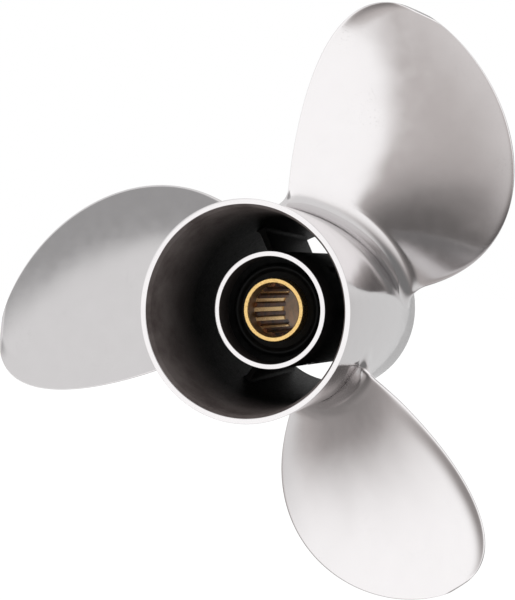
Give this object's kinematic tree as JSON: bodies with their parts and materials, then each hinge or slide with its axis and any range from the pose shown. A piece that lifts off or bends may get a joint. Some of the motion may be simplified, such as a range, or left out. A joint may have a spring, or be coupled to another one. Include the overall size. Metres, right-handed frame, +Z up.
{
  "type": "boat propeller",
  "caption": "Right-hand outboard propeller with a through-hub exhaust barrel, a rubber-cushioned splined sleeve and polished blades.",
  "frame": {"origin": "on the shaft axis, halfway along the plain pilot bore at the forward end of the sleeve", "axes": "+Y along the shaft towards the motor, so the open aft rim faces -Y; +Z up in the stored blade position, +X to starboard as seen from astern"},
  "size_m": [0.2856, 0.145, 0.3083],
  "materials": {
    "polished_steel": "mirror-polished stainless steel with fine polishing marks",
    "hub_steel": "cast stainless steel, polished on its rim and dull inside",
    "black_rubber": "moulded black rubber, satin",
    "brass": "machined brass, brown with use between the teeth"
  },
  "bodies": {
    "drive": {"splined_sleeve": "brass"},
    "propeller": {"outer_barrel": "polished_steel", "blade_1": "polished_steel", "blade_2": "polished_steel", "blade_3": "polished_steel", "inner_hub": "hub_steel", "rib_1": "hub_steel", "rib_2": "hub_steel", "rib_3": "hub_steel", "rubber_bushing": "black_rubber"}
  },
  "joints": [
    {"name": "cushion_twist", "type": "hinge", "parent": "drive", "child": "propeller", "pos_m": [0, 0, 0], "axis": [0, 1, 0], "range_deg": [-8, 8], "stiffness_Nm_per_rad": 2000}
  ]
}
